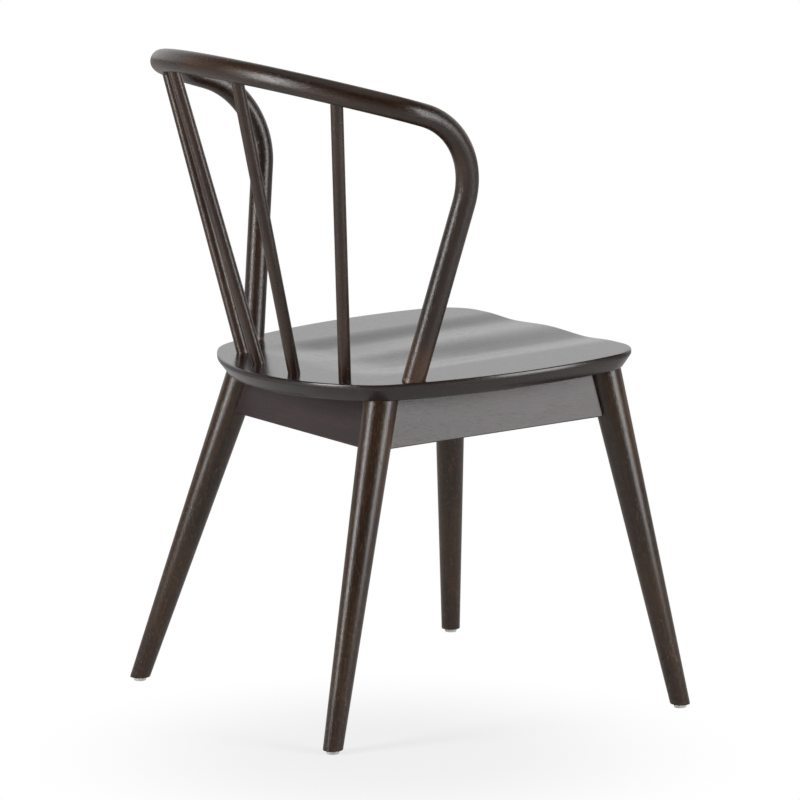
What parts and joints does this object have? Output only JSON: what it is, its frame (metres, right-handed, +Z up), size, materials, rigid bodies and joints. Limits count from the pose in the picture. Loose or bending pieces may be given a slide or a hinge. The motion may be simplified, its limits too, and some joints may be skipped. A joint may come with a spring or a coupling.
{
  "type": "dining chair",
  "caption": "Wooden dining chair with a bent round back hoop, straight spindles, a hollowed seat on aprons and splayed tapered legs.",
  "frame": {"origin": "on the floor under the middle of the chair", "axes": "+Z up; the sitter faces -Y, so the back is at +Y and the sitter's right at -X"},
  "size_m": [0.5452, 0.5646, 0.824],
  "materials": {
    "seat_wood": "espresso stain under satin lacquer, worn at the rim",
    "rod_wood": "espresso stain under satin lacquer",
    "leg_wood": "espresso stain under satin lacquer, open pores",
    "apron_wood": "espresso stain under satin lacquer",
    "block_wood": "stained, not polished",
    "dowel_wood": "bare beech",
    "screw_steel": "zinc plated",
    "nail_steel": "plain",
    "glide_plastic": "matt white nylon"
  },
  "bodies": {
    "root": {"seat": "seat_wood", "back_hoop": "rod_wood", "apron_dowels": "dowel_wood", "block_screws": "screw_steel", "seat_screws": "screw_steel", "glide_nails": "nail_steel", "spindle_outer_right": "rod_wood", "spindle_inner_right": "rod_wood", "apron_right": "apron_wood", "leg_rear_right": "leg_wood", "corner_block_rear_right": "block_wood", "glide_rear_right": "glide_plastic", "leg_front_right": "leg_wood", "corner_block_front_right": "block_wood", "glide_front_right": "glide_plastic", "spindle_outer_left": "rod_wood", "spindle_inner_left": "rod_wood", "apron_left": "apron_wood", "leg_rear_left": "leg_wood", "corner_block_rear_left": "block_wood", "glide_rear_left": "glide_plastic", "leg_front_left": "leg_wood", "corner_block_front_left": "block_wood", "glide_front_left": "glide_plastic", "apron_rear": "apron_wood", "apron_front": "apron_wood"}
  },
  "joints": []
}
